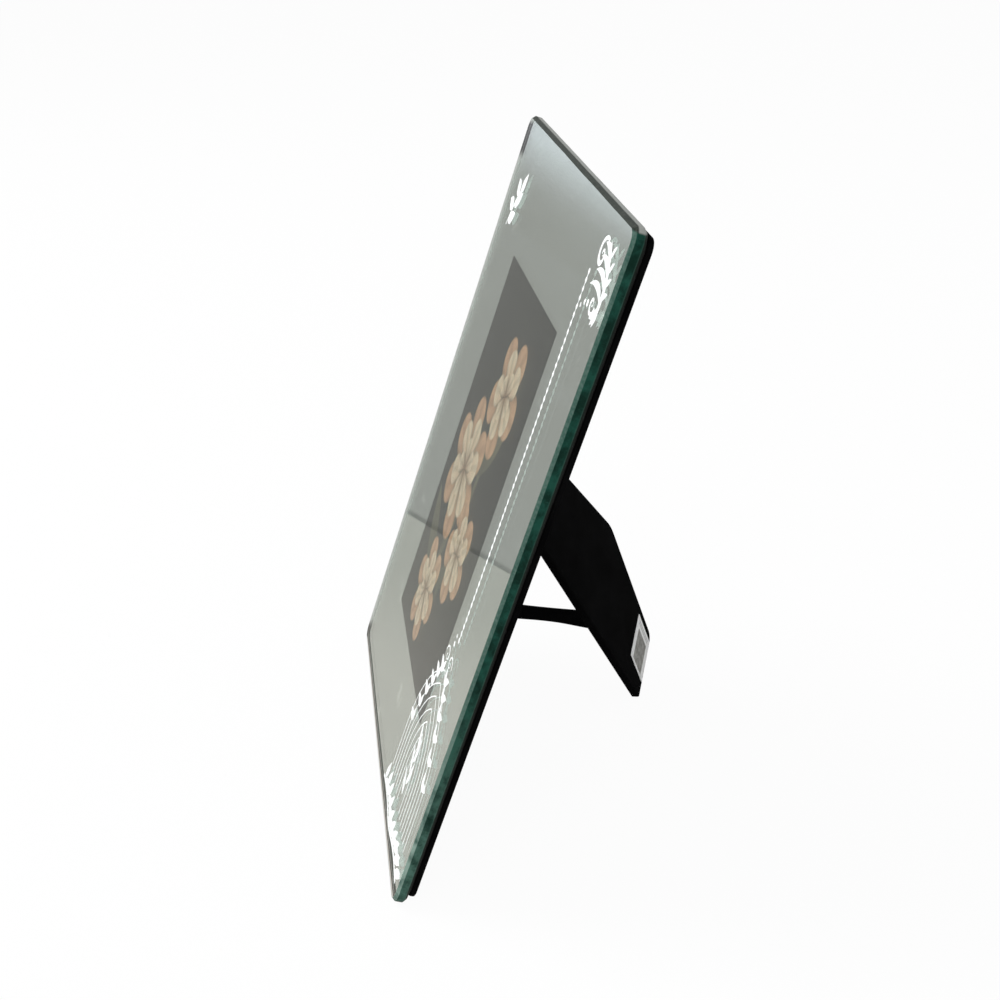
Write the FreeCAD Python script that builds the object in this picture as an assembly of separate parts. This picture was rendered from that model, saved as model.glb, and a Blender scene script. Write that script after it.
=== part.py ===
import FreeCAD, Part
import math
import os

# Free-standing mirrored glass photo frame with a flocked back and a skewed easel strut, in mm.
# The plate's own frame has x to the right, y up the plate from its bottom edge and z out of
# its front. The strut's own frame lies on the hinge axis: x along the pin, y towards the
# foot and z away from the board, with the strut shut. The last step leans the plate back.

# Glass plate
plate_width = 180.0
plate_height = 225.0
glass_thickness = 4.3
glass_corner = 5.0
glass_bevel = 1.0

# Silvering on the back of the glass, with a clear window over the picture
coat_thickness = 0.1
coat_margin = 1.4
window_width = 91.0
window_height = 141.0
window_from_bottom = 41.3
window_corner = 0.8

# Picture, the card behind it and the pocket that they slide into
photo_width = 102.0
photo_height = 152.0
photo_thickness = 0.25
card_thickness = 0.4
card_top_gap = 3.0
slip_gap = 0.02
pocket_side_gap = 1.0
spacer_thickness = 0.7
spacer_inset = 0.6

# Backing board, its flocked cover and the finger notch in its top edge
board_inset = 2.0
board_thickness = 1.9
board_corner = 4.0
cover_thickness = 0.35
turn_in = 14.0
notch_radius = 9.0

# Hinge: pin, rolled knuckles and leaves
hinge_from_side = 126.8
hinge_from_bottom = 133.0
hinge_turn = -45.0
hinge_length = 24.0
knuckle_count = 5
knuckle_gap = 0.2
leaf_thickness = 0.8
leaf_length = 13.0
leaf_corner = 2.0
roll_slit = 0.3
pin_clearance = 0.05
pin_head_length = 0.5
pin_head_overhang = 0.5

# Rivets through the leaves
rivet_radius = 1.0
rivet_hole_gap = 0.03
rivet_head_radius = 1.9
rivet_head_height = 0.8
rivet_tail_radius = 1.6
rivet_tail_depth = 0.5
rivet_spacing = 13.0
rivet_from_pin = 8.4

# Flat top of a rivet head, as a share of the head's radius
rivet_flat_share = 0.6

# Strut outline, measured from the middle of the hinge
strut_thickness = 3.0
strut_gap = 0.1
strut_top_width = 27.4
strut_top_gap = 0.5
knee_out = 21.4
knee_down = 88.3
toe_out = 1.3
toe_down = 156.2
heel_out = 27.6
heel_down = 147.7
top_corner = 1.5
knee_radius = 24.0
toe_radius = 4.0
heel_radius = 0.8
strut_open = 38.2

# Blank paper label on the strut
label_width = 20.0
label_height = 19.6
label_thickness = 0.1
label_corner = 0.6
label_from_foot = 0.8
label_from_taper = 3.6

# Ribbon between the board and the strut, and the staples that hold its ends
ribbon_width = 6.5
ribbon_thickness = 0.35
ribbon_board_side = 9.2
ribbon_strut_side = 5.5
ribbon_board_down = 112.0
ribbon_strut_down = 121.0
ribbon_tab = 6.0
ribbon_bend = 4.0
ribbon_slack = 6.4
staple_wire = 0.5
staple_crown = 8.2
staple_leg = 1.5
staple_hole_gap = 0.02

# One length that every cut runs past its faces
overrun = 5.0

# Distance between the points at which the strut's outline is tried against the table
outline_step = 0.1

# Depths behind the front of the glass
coat_front = -glass_thickness
coat_back = coat_front - coat_thickness
spacer_back = coat_back - spacer_thickness
board_back = spacer_back - board_thickness

# Sizes of the hinge that follow from the strut lying flat between the leaves
knuckle_radius = (strut_gap + strut_thickness + leaf_thickness) / 2
bore_radius = knuckle_radius - leaf_thickness
pin_radius = bore_radius - pin_clearance
board_face = -knuckle_radius
strut_inner = board_face + strut_gap
strut_outer = strut_inner + strut_thickness


def vec(x, y, z=0.0):
    return FreeCAD.Vector(x, y, z)


def box(low, high):
    size = high - low
    return Part.makeBox(size.x, size.y, size.z, low)


def rounded_face(points, radii, level):
    """Flat face through corner points, each corner rounded with its own radius."""
    arcs = []
    count = len(points)
    for i in range(count):
        corner = vec(points[i][0], points[i][1], level)
        before = vec(points[i - 1][0], points[i - 1][1], level) - corner
        after = vec(points[(i + 1) % count][0], points[(i + 1) % count][1], level) - corner
        half = before.getAngle(after) / 2
        before.normalize()
        after.normalize()
        middle = before + after
        middle.normalize()
        reach = radii[i] / math.tan(half)
        crown = corner + middle * (radii[i] / math.sin(half) - radii[i])
        arcs.append((corner + before * reach, crown, corner + after * reach))
    edges = []
    for i in range(count):
        start, crown, end = arcs[i]
        edges.append(Part.Arc(start, crown, end).toShape())
        edges.append(Part.LineSegment(end, arcs[(i + 1) % count][0]).toShape())
    return Part.Face(Part.Wire(edges))


def slab(face, thickness):
    return face.extrude(vec(0, 0, thickness))


def plate(left, bottom, right, top, radius, back, front):
    """Upright rectangular plate with round corners, between two depths."""
    points = [(left, bottom), (right, bottom), (right, top), (left, top)]
    return slab(rounded_face(points, [radius] * 4, back), front - back)


def inset_plate(inset, radius, back, front):
    """Plate that keeps one margin inside the outline of the glass."""
    return plate(inset, inset, plate_width - inset, plate_height - inset, radius, back, front)


def rod(radius, start, end):
    run = end - start
    return Part.makeCylinder(radius, run.Length, start, run)


def turned(points, centre, base):
    """Solid of revolution about the z direction, from (radius, height) points."""
    ring = [vec(radius, 0, height) for radius, height in points]
    profile = Part.Face(Part.makePolygon(ring + [ring[0]]))
    solid = profile.revolve(vec(0, 0, 0), vec(0, 0, 1), 360)
    solid.translate(vec(centre[0], centre[1], base))
    return solid


# Glass, silvering, picture and pocket

def front_glass():
    body = inset_plate(0, glass_corner, -glass_thickness, 0)
    rims = []
    for edge in body.Edges:
        lows = [vertex.Z for vertex in edge.Vertexes]
        if max(lows) - min(lows) < glass_bevel / 2:
            rims.append(edge)
    return body.makeChamfer(glass_bevel, rims)


def mirror_coating():
    coat = inset_plate(coat_margin, glass_corner - coat_margin, coat_back, coat_front)
    left = (plate_width - window_width) / 2
    top = window_from_bottom + window_height
    window = plate(left, window_from_bottom, left + window_width, top, window_corner,
                   coat_back - overrun, coat_front + overrun)
    return coat.cut(window)


photo_left = (plate_width - photo_width) / 2
photo_right = photo_left + photo_width
photo_bottom = window_from_bottom - (photo_height - window_height) / 2
photo_front = coat_back - slip_gap
photo_back = photo_front - photo_thickness


def photo_print():
    low = vec(photo_left, photo_bottom, photo_back)
    return box(low, vec(photo_right, photo_bottom + photo_height, photo_front))


def backer_card():
    top = plate_height - board_inset - card_top_gap
    low = vec(photo_left, photo_bottom, photo_back - card_thickness)
    return box(low, vec(photo_right, top, photo_back))


def spacer_strip(left, bottom, right, top):
    """Part of the flat black spacer that fills the space round the picture pocket."""
    inset = board_inset + spacer_inset
    sheet = inset_plate(inset, board_corner, spacer_back, coat_back)
    piece = box(vec(left, bottom, spacer_back - overrun), vec(right, top, coat_back + overrun))
    return sheet.common(piece)


def spacers():
    left = photo_left - pocket_side_gap
    right = photo_right + pocket_side_gap
    bottom = photo_bottom - slip_gap
    return {
        "spacer_left": spacer_strip(0, bottom, left, plate_height),
        "spacer_right": spacer_strip(right, bottom, plate_width, plate_height),
        "spacer_bottom": spacer_strip(0, 0, plate_width, bottom),
    }


# Backing board

def finger_notch():
    centre = vec(plate_width / 2, plate_height - board_inset, board_back - overrun)
    return Part.makeCylinder(notch_radius, board_thickness + 2 * overrun, centre, vec(0, 0, 1))


def board_core_blank():
    inset = board_inset + cover_thickness
    radius = board_corner - cover_thickness
    return inset_plate(inset, radius, board_back + cover_thickness, spacer_back - cover_thickness)


def board_flock_blank():
    """Flocked cover: back sheet, rim and the margin turned in over the front."""
    cover = inset_plate(board_inset, board_corner, board_back, spacer_back)
    inset = board_inset + turn_in
    opening = inset_plate(inset, board_corner, board_back + cover_thickness, spacer_back + overrun)
    return cover.cut(board_core_blank()).cut(opening)


# Hinge, in the strut's own frame

def knuckle_spans(first):
    """Stretches of the pin that one leaf's knuckles take, every second one."""
    pitch = hinge_length / knuckle_count
    spans = []
    for i in range(first, knuckle_count, 2):
        start = -hinge_length / 2 + i * pitch
        spans.append((start + knuckle_gap / 2, start + pitch - knuckle_gap / 2))
    return spans


def rivet_spots(side):
    return [(-rivet_spacing / 2, side * rivet_from_pin), (rivet_spacing / 2, side * rivet_from_pin)]


def hinge_leaf(first, side):
    """Leaf with rolled knuckles: side -1 lies on the board, side 1 on the strut."""
    low = min(side * knuckle_radius, side * bore_radius)
    clear = knuckle_radius + knuckle_gap
    half = hinge_length / 2
    corners = [(-half, side * clear), (half, side * clear), (half, side * leaf_length),
               (-half, side * leaf_length)]
    radii = [knuckle_gap, knuckle_gap, leaf_corner, leaf_corner]
    pieces = [slab(rounded_face(corners, radii, low), leaf_thickness)]
    for start, end in knuckle_spans(first):
        roll = rod(knuckle_radius, vec(start, 0, 0), vec(end, 0, 0))
        near = min(0, side * (clear + knuckle_gap))
        far = max(0, side * (clear + knuckle_gap))
        tongue = box(vec(start, near, low), vec(end, far, low + leaf_thickness))
        slit_low = min(side * bore_radius, side * (bore_radius - roll_slit))
        slit_near = min(0, side * clear)
        slit = box(vec(start - knuckle_gap, slit_near, slit_low),
                   vec(end + knuckle_gap, slit_near + clear, slit_low + roll_slit))
        pieces.append(roll.fuse(tongue).cut(slit))
    leaf = pieces[0].multiFuse(pieces[1:])
    leaf = leaf.cut(rod(bore_radius, vec(-half - overrun, 0, 0), vec(half + overrun, 0, 0)))
    for x, y in rivet_spots(side):
        hole = rod(rivet_radius + rivet_hole_gap, vec(x, y, low - overrun), vec(x, y, low + overrun))
        leaf = leaf.cut(hole)
    return leaf.removeSplitter()


def hinge_pin():
    """Pin with a peened head at each end, turned about z and then laid along x."""
    half = hinge_length / 2 + knuckle_gap
    head = pin_radius + pin_head_overhang
    top = half + pin_head_length
    points = [(0, -top), (pin_radius, -top), (head, -half - pin_head_length / 2), (head, -half),
              (pin_radius, -half), (pin_radius, half), (head, half), (head, half + pin_head_length / 2),
              (pin_radius, top), (0, top)]
    pin = turned(points, (0, 0), 0)
    pin.rotate(vec(0, 0, 0), vec(0, 1, 0), 90)
    return pin


def rivet(spot, tail, head_seat):
    """Round-headed rivet whose tail is spread flush inside the board it holds."""
    length = head_seat - tail
    top = length + rivet_head_height
    points = [(0, 0), (rivet_tail_radius, 0), (rivet_radius, rivet_tail_depth), (rivet_radius, length),
              (rivet_head_radius, length), (rivet_head_radius * rivet_flat_share, top), (0, top)]
    return turned(points, spot, tail)


def rivet_bore(spot, tail, head_seat):
    """Room for one rivet's shank and spread tail."""
    wide = rivet_tail_radius + rivet_hole_gap
    narrow = rivet_radius + rivet_hole_gap
    points = [(0, -overrun), (wide, -overrun), (wide, 0), (narrow, rivet_tail_depth),
              (narrow, head_seat - tail), (0, head_seat - tail)]
    return turned(points, spot, tail)


board_rivet_tail = board_face - (board_thickness - cover_thickness)
board_rivet_seat = board_face + leaf_thickness
strut_rivet_seat = strut_outer + leaf_thickness


def board_rivets():
    return [rivet(spot, board_rivet_tail, board_rivet_seat) for spot in rivet_spots(-1)]


def strut_rivets():
    return [rivet(spot, strut_inner, strut_rivet_seat) for spot in rivet_spots(1)]


# Strut, shut against the board

def strut_corners():
    half = strut_top_width / 2
    top = knuckle_radius + strut_top_gap
    return [(-half, top), (half, top), (heel_out, heel_down), (-toe_out, toe_down),
            (-knee_out, knee_down)]


def strut_outline(inset, level):
    radii = [top_corner, top_corner, heel_radius, toe_radius, knee_radius]
    face = rounded_face(strut_corners(), radii, level)
    if inset:
        face = face.makeOffset2D(-inset)
    return face


def strut_core_blank():
    low = strut_inner + cover_thickness
    return slab(strut_outline(cover_thickness, low), strut_thickness - 2 * cover_thickness)


def strut_lining_blank():
    return slab(strut_outline(cover_thickness, strut_inner), cover_thickness)


def strut_flock_blank():
    """Flocked cover: the outer face and the rim, with the inside left to core and lining."""
    whole = slab(strut_outline(0, strut_inner), strut_thickness)
    inside = slab(strut_outline(cover_thickness, strut_inner), strut_thickness - cover_thickness)
    return whole.cut(inside)


def strut_label():
    """Square paper label, in line with the foot and the tapered side."""
    toe = vec(-toe_out, toe_down, strut_outer)
    along_foot = vec(heel_out, heel_down, strut_outer) - toe
    up_taper = vec(-knee_out, knee_down, strut_outer) - toe
    along_foot.normalize()
    up_taper.normalize()
    start = toe + along_foot * label_from_taper + up_taper * label_from_foot
    corners = [start, start + along_foot * label_width,
               start + along_foot * label_width + up_taper * label_height, start + up_taper * label_height]
    points = [(corner.x, corner.y) for corner in corners]
    return slab(rounded_face(points, [label_corner] * 4, strut_outer), label_thickness)


# Ribbon and staples

def opened(shape):
    """Swings a shape of the strut about the pin to the angle at which the frame stands."""
    shape = shape.copy()
    shape.rotate(vec(0, 0, 0), vec(1, 0, 0), strut_open)
    return shape


def on_board(y, z):
    """Point of the board's side view."""
    return vec(0, y, z)


def on_strut(y, z):
    """Point of the strut's side view, at the angle at which the frame stands."""
    turn = math.radians(strut_open)
    return vec(0, y * math.cos(turn) - z * math.sin(turn), y * math.sin(turn) + z * math.cos(turn))


def bend_reach(tab_way, run_way):
    """Distance along a tab from the ribbon's corner to the end of its bend."""
    return ribbon_bend / math.tan(tab_way.getAngle(run_way) / 2)


ribbon_lift = ribbon_thickness / 2
board_bend = on_board(ribbon_board_down, board_face + ribbon_lift)
strut_bend = on_strut(ribbon_strut_down, strut_inner - ribbon_lift)
ribbon_middle = (board_bend + strut_bend) / 2 + on_board(ribbon_slack, 0)
board_tab = ribbon_board_down + bend_reach(on_board(ribbon_tab, 0), ribbon_middle - board_bend)
strut_tab = ribbon_strut_down + bend_reach(on_strut(ribbon_tab, 0), ribbon_middle - strut_bend)


def ribbon_path():
    """Line of the ribbon: a tab on the board, a slack run and a tab on the strut."""
    board_end = on_board(board_tab + ribbon_tab, board_face + ribbon_lift)
    strut_end = on_strut(strut_tab + ribbon_tab, strut_inner - ribbon_lift)
    return [board_end, board_bend, ribbon_middle, strut_bend, strut_end]


def bend_path(points, radii):
    """Straight runs joined by tangent arcs."""
    edges = []
    last = points[0]
    for i in range(1, len(points) - 1):
        before = points[i - 1] - points[i]
        after = points[i + 1] - points[i]
        half = before.getAngle(after) / 2
        before.normalize()
        after.normalize()
        middle = before + after
        middle.normalize()
        radius = radii[i - 1]
        start = points[i] + before * (radius / math.tan(half))
        crown = points[i] + middle * (radius / math.sin(half) - radius)
        end = points[i] + after * (radius / math.tan(half))
        edges.append(Part.LineSegment(last, start).toShape())
        edges.append(Part.Arc(start, crown, end).toShape())
        last = end
    edges.append(Part.LineSegment(last, points[-1]).toShape())
    return Part.Wire(edges)


def led_sideways(shape):
    """Leads the ribbon across from its place on the board to its place on the strut."""
    rise = on_strut(ribbon_strut_down, strut_inner).z - board_face
    skew = FreeCAD.Matrix()
    skew.A13 = (ribbon_strut_side - ribbon_board_side) / rise
    skew.A14 = ribbon_board_side - skew.A13 * board_face
    return shape.transformGeometry(skew)


def stay_ribbon():
    points = ribbon_path()
    slack_radius = (points[3] - points[1]).Length
    path = bend_path(points, [ribbon_bend, slack_radius, ribbon_bend])
    start = points[0]
    half_width = vec(ribbon_width / 2, 0, 0)
    half_thickness = vec(0, 0, ribbon_thickness / 2)
    corners = [start - half_width - half_thickness, start + half_width - half_thickness,
               start + half_width + half_thickness, start - half_width + half_thickness]
    section = Part.makePolygon(corners + [corners[0]])
    return led_sideways(path.makePipeShell([section], True, False))


def staple(middle, down, level, side):
    """Wire staple over a ribbon tab, with its legs in the board: side is the way they point."""
    half = staple_crown / 2
    radius = staple_wire / 2
    crown_level = level - side * (ribbon_thickness + radius)
    left = vec(middle - half, down, crown_level)
    right = vec(middle + half, down, crown_level)
    drop = vec(0, 0, side * (ribbon_thickness + radius + staple_leg))
    pieces = [rod(radius, left, right), rod(radius, left, left + drop), rod(radius, right, right + drop),
              Part.makeSphere(radius, left), Part.makeSphere(radius, right)]
    return pieces[0].multiFuse(pieces[1:]).removeSplitter()


def staple_holes(middle, down, level, side):
    half = staple_crown / 2
    radius = staple_wire / 2 + staple_hole_gap
    holes = []
    for x in (middle - half, middle + half):
        start = vec(x, down, level - side * overrun)
        holes.append(rod(radius, start, vec(x, down, level + side * (staple_leg + staple_hole_gap))))
    return holes


board_staple_place = (ribbon_board_side, board_tab + ribbon_tab / 2, board_face, -1)
strut_staple_place = (ribbon_strut_side, strut_tab + ribbon_tab / 2, strut_inner, 1)


# Placing

def on_back(shape):
    """From the strut's own frame to the plate's frame, on the back of the board."""
    moved = shape.copy()
    moved.rotate(vec(0, 0, 0), vec(1, 0, 0), 180)
    moved.rotate(vec(0, 0, 0), vec(0, 0, 1), hinge_turn)
    moved.translate(vec(hinge_from_side, hinge_from_bottom, board_back - knuckle_radius))
    return moved


def lean_angle():
    """Angle from upright at which the glass and the strut's heel both touch the table."""
    foot = on_back(opened(strut_outline(0, strut_inner)))
    rest = glass_bevel - glass_thickness
    outline = foot.OuterWire.discretize(Distance=outline_step)
    return math.degrees(min(math.atan2(point.y, rest - point.z) for point in outline))


def stand(shape, lean):
    """Leans the plate's frame back from upright."""
    moved = shape.copy()
    moved.translate(vec(-plate_width / 2, 0, 0))
    moved.rotate(vec(0, 0, 0), vec(1, 0, 0), 90 - lean)
    return moved


def cut_all(shape, tools):
    for tool in tools:
        shape = shape.cut(tool)
    return shape


def plate_pieces():
    """Everything that keeps still, in the plate's frame."""
    board_bores = [rivet_bore(spot, board_rivet_tail, board_rivet_seat) for spot in rivet_spots(-1)]
    board_bores += staple_holes(*board_staple_place)
    board_bores = [on_back(bore) for bore in board_bores] + [finger_notch()]
    pieces = {
        "front_glass": front_glass(),
        "mirror_coating": mirror_coating(),
        "photo_print": photo_print(),
        "backer_card": backer_card(),
        "board_core": cut_all(board_core_blank(), board_bores),
        "board_flock": cut_all(board_flock_blank(), board_bores),
        "hinge_leaf_board": on_back(hinge_leaf(0, -1)),
        "hinge_pin": on_back(hinge_pin()),
        "board_rivets": Part.makeCompound([on_back(piece) for piece in board_rivets()]),
        "board_staple": on_back(staple(*board_staple_place)),
        "stay_ribbon": on_back(stay_ribbon()),
    }
    pieces.update(spacers())
    return pieces


def strut_pieces():
    """Everything that swings with the strut, in the plate's frame and standing open."""
    bores = [rivet_bore(spot, strut_inner, strut_rivet_seat) for spot in rivet_spots(1)]
    bores += staple_holes(*strut_staple_place)
    pieces = {
        "strut_core": cut_all(strut_core_blank(), bores),
        "strut_flock": cut_all(strut_flock_blank(), bores),
        "strut_lining": cut_all(strut_lining_blank(), bores),
        "strut_label": strut_label(),
        "hinge_leaf_strut": hinge_leaf(1, 1),
        "strut_rivets": Part.makeCompound(strut_rivets()),
        "strut_staple": staple(*strut_staple_place),
    }
    return {name: on_back(opened(shape)) for name, shape in pieces.items()}


def main():
    os.makedirs("parts", exist_ok=True)
    lean = lean_angle()
    pieces = plate_pieces()
    pieces.update(strut_pieces())
    standing = {name: stand(shape, lean) for name, shape in pieces.items()}
    bounds = Part.makeCompound(list(standing.values())).optimalBoundingBox(False)
    middle = vec(-bounds.Center.x, -bounds.Center.y, -bounds.ZMin)
    print("leans back by", round(lean, 3), "degrees, moved by", middle)
    for name, shape in standing.items():
        shape.translate(middle)
        shape.exportStep("parts/" + name + ".step")
        print(name, len(shape.Solids), shape.isValid(), round(shape.Volume, 2))


main()
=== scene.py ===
import math

import bmesh
import bpy
from mathutils import Matrix, Vector, noise


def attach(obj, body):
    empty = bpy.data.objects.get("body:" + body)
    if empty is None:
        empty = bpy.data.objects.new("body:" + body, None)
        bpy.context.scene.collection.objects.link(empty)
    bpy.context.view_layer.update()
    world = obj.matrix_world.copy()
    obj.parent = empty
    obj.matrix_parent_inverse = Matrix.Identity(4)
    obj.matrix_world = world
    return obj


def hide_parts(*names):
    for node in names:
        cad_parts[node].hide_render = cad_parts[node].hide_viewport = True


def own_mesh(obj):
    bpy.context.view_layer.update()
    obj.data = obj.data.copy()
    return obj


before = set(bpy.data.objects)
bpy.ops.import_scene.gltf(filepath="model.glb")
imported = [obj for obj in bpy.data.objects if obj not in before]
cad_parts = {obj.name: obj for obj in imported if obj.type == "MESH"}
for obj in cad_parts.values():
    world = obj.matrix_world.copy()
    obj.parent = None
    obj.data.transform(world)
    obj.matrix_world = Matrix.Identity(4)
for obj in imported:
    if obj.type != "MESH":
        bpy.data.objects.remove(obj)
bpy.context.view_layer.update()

# Sizes in millimetres, in the plate's own frame: u to the right, v up the plate, w out of its front
MM = 0.001
PLATE_WIDTH = 180.0
PLATE_HEIGHT = 225.0
PLATE_CORNER = 5.0
GLASS_THICKNESS = 4.3
GLASS_BEVEL = 1.0
GLASS_FLOAT = 0.02
BOARD_INSET = 2.0
BOARD_CORNER = 4.0
BOARD_FRONT = -5.1
BOARD_BACK = -7.0
NOTCH_RADIUS = 9.0

# Hinge, strut and ribbon, in the hinge's frame: x along the pin, y to the foot, z away from the board
HINGE_U = 126.8
HINGE_V = 133.0
HINGE_RADIUS = 1.95
STRUT_OPEN = math.radians(38.2)
STRUT_INNER = -1.85
STRUT_OUTER = 1.15
STRUT_TOP = 2.45
STRUT_HALF_TOP = 13.7
STRUT_HEEL = (27.6, 147.7)
STRUT_TOE = (-1.3, 156.2)
STRUT_KNEE = (-21.4, 88.3)
RIBBON_WIDTH = 6.5
RIBBON_THICKNESS = 0.35
RIBBON_TAB = 16.0
RIBBON_SAG = 5.6
RIBBON_ON_BOARD = (9.2, 107.8)
RIBBON_ON_STRUT = (5.5, 117.0)

# White print: heights above the glass, and the row of beads
INK_UNDERSIDE = 0.004
INK_TOP = 0.028
INK_STEP = 0.0012
DOT_TOP = 0.026
THINNEST_STROKE = 0.03
BEADS_U = 150.0
BEADS_FOOT = 83.0
BEADS_TOP = 206.0
BEAD_PITCH = 2.6
BEAD_RADIUS = 0.95

# How finely round corners and long sides are divided
TURN_POINTS = 10
SPACING = 2.5

# The plate leans back about its foot
LEAN_SIN = 0.3070172
LEAN_COS = 0.9517040
ACROSS = Vector((1, 0, 0))
UP = Vector((0, LEAN_SIN, LEAN_COS))
OUT = Vector((0, -LEAN_COS, LEAN_SIN))
FOOT = Vector((-90.0, -57.7295, 1.0134)) * MM

# Room, in metres: the floor, and the cards that the mirror shows
FLOOR_REACH = 4.0
FLOOR_LEVEL = -0.0004
FLOOR_WHITENESS = 0.955
CARD_REACH = 9.0
CARD_FAR_EDGE = -0.258
CARD_FAR_LEVEL = 0.0006
CARD_NEAR_EDGE = -0.3
CARD_NEAR_LEVEL = 0.0003
CARD_RIM = (0.262, 0.270)
TENT_SIDES = 12
TENT_HEIGHT = 7.0
TENT_TAPER = 0.4


def on_plate(u, v, w=0.0):
    """Point of the plate's frame as a point of the room."""
    return FOOT + (ACROSS * u + UP * v + OUT * w) * MM


def on_back(x, y, z):
    """Point of the hinge's frame, laid on the back of the board at 45 degrees."""
    slant = math.sqrt(0.5)
    u = HINGE_U + slant * (x - y)
    v = HINGE_V - slant * (x + y)
    return on_plate(u, v, BOARD_BACK - HINGE_RADIUS - z)


def swung(y, z):
    """Place (y, z) on the strut's side, swung open about the pin."""
    cos, sin = math.cos(STRUT_OPEN), math.sin(STRUT_OPEN)
    return y * cos - z * sin, y * sin + z * cos


def on_strut(x, y, z):
    """Point of the strut's frame, swung open."""
    return on_back(x, *swung(y, z))


# Shader nodes

class Wire:
    """One output of a node. Sums and products of wires add Math nodes."""

    def __init__(self, finish, socket):
        self.finish = finish
        self.socket = socket

    def also(self, name):
        """Another output of the same node."""
        return Wire(self.finish, self.socket.node.outputs[name])

    def maths(self, operation, *others):
        inputs = {0: self}
        for i, other in enumerate(others):
            inputs[i + 1] = other
        return self.finish.node("ShaderNodeMath", {"operation": operation}, inputs)

    def __add__(self, other):
        return self.maths("ADD", other)

    def __sub__(self, other):
        return self.maths("SUBTRACT", other)

    def __mul__(self, other):
        return self.maths("MULTIPLY", other)

    def __truediv__(self, other):
        return self.maths("DIVIDE", other)

    def __pow__(self, other):
        return self.maths("POWER", other)

    def __radd__(self, other):
        return self.maths("ADD", other)

    def __rmul__(self, other):
        return self.maths("MULTIPLY", other)

    def __rsub__(self, other):
        return self.finish.node("ShaderNodeMath", {"operation": "SUBTRACT"}, {0: other, 1: self})

    def __abs__(self):
        return self.maths("ABSOLUTE")

    def clamped(self):
        return self.maths("MAXIMUM", 0.0).maths("MINIMUM", 1.0)

    def between(self, low, high):
        """0 below low, 1 above high and smooth from one to the other."""
        settings = {"interpolation_type": "SMOOTHSTEP"}
        inputs = {"Value": self, "From Min": low, "From Max": high}
        return self.finish.node("ShaderNodeMapRange", settings, inputs)

    def spread(self):
        """Noise, which lies mostly between 0.3 and 0.7, spread from 0 to 1."""
        return self.between(0.3, 0.7)

    def within(self, start, end, soft=0.2):
        """1 from start to end, with soft ends."""
        return self.between(start, start + soft) * (1 - self.between(end, end + soft))


class Finish:
    """The nodes of one material, or of the world."""

    def __init__(self, name, kind="Material"):
        shelf = bpy.data.materials if kind == "Material" else bpy.data.worlds
        self.owner = shelf.new(name)
        self.owner.use_nodes = True
        self.tree = self.owner.node_tree
        self.tree.nodes.clear()
        self.end = self.tree.nodes.new("ShaderNodeOutput" + kind)

    def node(self, kind, settings=None, inputs=None, out=0):
        """Adds a node, with its settings first and then the values or links of its sockets."""
        made = self.tree.nodes.new(kind)
        for name, value in (settings or {}).items():
            setattr(made, name, value)
        for name, value in (inputs or {}).items():
            if isinstance(value, Wire):
                self.tree.links.new(value.socket, made.inputs[name])
            elif made.inputs[name].type == "RGBA":
                made.inputs[name].default_value = (*value, 1)
            else:
                made.inputs[name].default_value = value
        return Wire(self, made.outputs[out])

    def place(self):
        """Place in the room with the object at rest, in metres."""
        return self.node("ShaderNodeTexCoord", out="Object")

    def vectors(self, operation, first, second, out=0):
        return self.node("ShaderNodeVectorMath", {"operation": operation}, {0: first, 1: second}, out)

    def dot(self, first, second):
        return self.vectors("DOT_PRODUCT", first, second, "Value")

    def along(self, start, direction):
        """Distance in millimetres from a start point along a direction."""
        return self.dot(self.vectors("SUBTRACT", self.place(), start), direction / MM)

    def grain(self, scale, detail=4.0, roughness=0.5, stretch=(1, 1, 1)):
        """Noise with scale cells to the metre, stretched along the plate's own directions."""
        turned = {"Scale": Vector(stretch), "Rotation": Vector((-math.asin(LEAN_SIN), 0, 0))}
        settings = {"vector_type": "TEXTURE"}
        mapped = self.node("ShaderNodeMapping", settings, {"Vector": self.place(), **turned})
        inputs = {"Vector": mapped, "Scale": scale, "Detail": detail, "Roughness": roughness}
        return self.node("ShaderNodeTexNoise", None, inputs, "Fac")

    def mix(self, factor, first, second):
        """Colour that goes from first to second as the factor goes from 0 to 1."""
        return self.node("ShaderNodeMix", {"data_type": "RGBA"}, {0: factor, 6: first, 7: second}, 2)

    def shaded(self, factor, first, second):
        """Shader that goes from first to second as the factor goes from 0 to 1."""
        return self.node("ShaderNodeMixShader", None, {0: factor, 1: first, 2: second})

    def bump(self, height, strength, distance, normal=None):
        inputs = {"Height": height, "Strength": strength, "Distance": distance}
        if normal:
            inputs["Normal"] = normal
        return self.node("ShaderNodeBump", None, inputs)

    def surface(self, **inputs):
        """Principled shader: sockets by name, with underscores for spaces."""
        sockets = {name.replace("_", " "): value for name, value in inputs.items()}
        return self.node("ShaderNodeBsdfPrincipled", None, sockets)

    def done(self, shader, volume=None):
        self.tree.links.new(shader.socket, self.end.inputs["Surface"])
        if volume:
            self.tree.links.new(volume.socket, self.end.inputs["Volume"])
        return self.owner


# Finishes

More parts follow.
